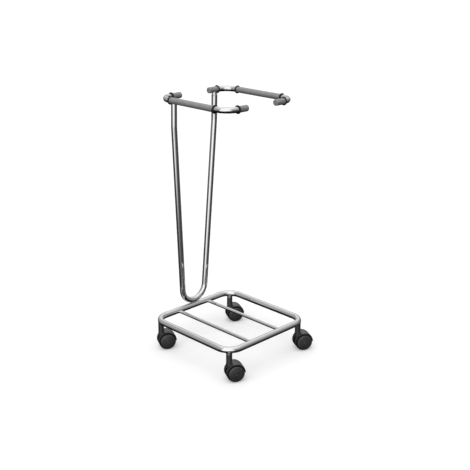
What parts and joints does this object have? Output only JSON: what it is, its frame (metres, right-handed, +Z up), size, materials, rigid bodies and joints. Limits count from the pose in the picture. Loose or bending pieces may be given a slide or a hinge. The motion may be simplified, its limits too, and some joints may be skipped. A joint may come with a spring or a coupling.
{
  "type": "wheeled sack stand",
  "caption": "Wheeled sack stand with a square tube base, twin-wheel castors, a V-shaped upright and a spring hoop in two sleeved halves that holds a bag's mouth open.",
  "frame": {"origin": "on the floor, under the centre of the square base", "axes": "+Z up, +Y towards the rear, where the upright stands, +X to the right side as seen from the front"},
  "size_m": [0.4144, 0.4032, 0.8856],
  "materials": {
    "chrome": "polished chrome plate",
    "socket_steel": "satin zinc",
    "stem_steel": "turned steel",
    "spring_steel": "tempered spring steel",
    "sleeve_grey": "matt grey rubber",
    "ring_rubber": "black rubber",
    "castor_plastic": "moulded dark grey nylon",
    "castor_tyre": "black rubber tread"
  },
  "bodies": {
    "frame": {"base_tube": "chrome", "floor_rod_left": "chrome", "floor_rod_right": "chrome", "upright_bend": "chrome", "castor_front_left_socket": "socket_steel", "castor_front_left_stem": "stem_steel", "castor_front_left_grip_ring": "spring_steel", "castor_front_right_socket": "socket_steel", "castor_front_right_stem": "stem_steel", "castor_front_right_grip_ring": "spring_steel", "castor_rear_left_socket": "socket_steel", "castor_rear_left_stem": "stem_steel", "castor_rear_left_grip_ring": "spring_steel", "castor_rear_right_socket": "socket_steel", "castor_rear_right_stem": "stem_steel", "castor_rear_right_grip_ring": "spring_steel"},
    "hoop_half_left": {"upright_leg_left": "chrome", "hoop_post_left": "chrome", "hoop_left": "chrome", "side_sleeve_left": "sleeve_grey", "front_sleeve_left": "sleeve_grey", "rear_sleeve_left": "sleeve_grey", "ring_left_front_stub": "ring_rubber", "ring_left_front_side": "ring_rubber", "ring_left_rear_stub": "ring_rubber", "ring_left_rear_side": "ring_rubber"},
    "hoop_half_right": {"upright_leg_right": "chrome", "hoop_post_right": "chrome", "hoop_right": "chrome", "side_sleeve_right": "sleeve_grey", "front_sleeve_right": "sleeve_grey", "rear_sleeve_right": "sleeve_grey", "ring_right_front_stub": "ring_rubber", "ring_right_front_side": "ring_rubber", "ring_right_rear_stub": "ring_rubber", "ring_right_rear_side": "ring_rubber"},
    "castor_front_left_hood": {"castor_front_left_hood": "castor_plastic", "castor_front_left_axle": "stem_steel"},
    "castor_front_left_wheel_left": {"castor_front_left_wheel_left": "castor_plastic", "castor_front_left_tyre_left": "castor_tyre"},
    "castor_front_left_wheel_right": {"castor_front_left_wheel_right": "castor_plastic", "castor_front_left_tyre_right": "castor_tyre"},
    "castor_front_right_hood": {"castor_front_right_hood": "castor_plastic", "castor_front_right_axle": "stem_steel"},
    "castor_front_right_wheel_left": {"castor_front_right_wheel_left": "castor_plastic", "castor_front_right_tyre_left": "castor_tyre"},
    "castor_front_right_wheel_right": {"castor_front_right_wheel_right": "castor_plastic", "castor_front_right_tyre_right": "castor_tyre"},
    "castor_rear_left_hood": {"castor_rear_left_hood": "castor_plastic", "castor_rear_left_axle": "stem_steel"},
    "castor_rear_left_wheel_left": {"castor_rear_left_wheel_left": "castor_plastic", "castor_rear_left_tyre_left": "castor_tyre"},
    "castor_rear_left_wheel_right": {"castor_rear_left_wheel_right": "castor_plastic", "castor_rear_left_tyre_right": "castor_tyre"},
    "castor_rear_right_hood": {"castor_rear_right_hood": "castor_plastic", "castor_rear_right_axle": "stem_steel"},
    "castor_rear_right_wheel_left": {"castor_rear_right_wheel_left": "castor_plastic", "castor_rear_right_tyre_left": "castor_tyre"},
    "castor_rear_right_wheel_right": {"castor_rear_right_wheel_right": "castor_plastic", "castor_rear_right_tyre_right": "castor_tyre"}
  },
  "joints": [
    {"name": "hoop_squeeze_left", "type": "hinge", "parent": "frame", "child": "hoop_half_left", "pos_m": [-0.04291, 0.18122, 0.17888], "axis": [0, 0.9999, 0.0155], "range_deg": [0, 2.5], "stiffness_Nm_per_rad": 1700},
    {"name": "hoop_squeeze_right", "type": "hinge", "parent": "frame", "child": "hoop_half_right", "pos_m": [0.04291, 0.18122, 0.17888], "axis": [0, -0.9999, -0.0155], "range_deg": [0, 2.5], "stiffness_Nm_per_rad": 1700},
    {"name": "castor_front_left_swivel", "type": "hinge", "parent": "frame", "child": "castor_front_left_hood", "pos_m": [-0.16736, -0.16736, 0.075], "axis": [0, 0, 1], "continuous": true},
    {"name": "castor_front_left_wheel_left_spin", "type": "hinge", "parent": "castor_front_left_hood", "child": "castor_front_left_wheel_left", "pos_m": [-0.15139, -0.17567, 0.03], "axis": [0.4617, 0.887, 0], "continuous": true},
    {"name": "castor_front_left_wheel_right_spin", "type": "hinge", "parent": "castor_front_left_hood", "child": "castor_front_left_wheel_right", "pos_m": [-0.15139, -0.17567, 0.03], "axis": [0.4617, 0.887, 0], "continuous": true},
    {"name": "castor_front_right_swivel", "type": "hinge", "parent": "frame", "child": "castor_front_right_hood", "pos_m": [0.16736, -0.16736, 0.075], "axis": [0, 0, 1], "continuous": true},
    {"name": "castor_front_right_wheel_left_spin", "type": "hinge", "parent": "castor_front_right_hood", "child": "castor_front_right_wheel_left", "pos_m": [0.18332, -0.17567, 0.03], "axis": [0.4617, 0.887, 0], "continuous": true},
    {"name": "castor_front_right_wheel_right_spin", "type": "hinge", "parent": "castor_front_right_hood", "child": "castor_front_right_wheel_right", "pos_m": [0.18332, -0.17567, 0.03], "axis": [0.4617, 0.887, 0], "continuous": true},
    {"name": "castor_rear_left_swivel", "type": "hinge", "parent": "frame", "child": "castor_rear_left_hood", "pos_m": [-0.16736, 0.16736, 0.075], "axis": [0, 0, 1], "continuous": true},
    {"name": "castor_rear_left_wheel_left_spin", "type": "hinge", "parent": "castor_rear_left_hood", "child": "castor_rear_left_wheel_left", "pos_m": [-0.15139, 0.15904, 0.03], "axis": [0.4617, 0.887, 0], "continuous": true},
    {"name": "castor_rear_left_wheel_right_spin", "type": "hinge", "parent": "castor_rear_left_hood", "child": "castor_rear_left_wheel_right", "pos_m": [-0.15139, 0.15904, 0.03], "axis": [0.4617, 0.887, 0], "continuous": true},
    {"name": "castor_rear_right_swivel", "type": "hinge", "parent": "frame", "child": "castor_rear_right_hood", "pos_m": [0.16736, 0.16736, 0.075], "axis": [0, 0, 1], "continuous": true},
    {"name": "castor_rear_right_wheel_left_spin", "type": "hinge", "parent": "castor_rear_right_hood", "child": "castor_rear_right_wheel_left", "pos_m": [0.18332, 0.15904, 0.03], "axis": [0.4617, 0.887, 0], "continuous": true},
    {"name": "castor_rear_right_wheel_right_spin", "type": "hinge", "parent": "castor_rear_right_hood", "child": "castor_rear_right_wheel_right", "pos_m": [0.18332, 0.15904, 0.03], "axis": [0.4617, 0.887, 0], "continuous": true}
  ]
}
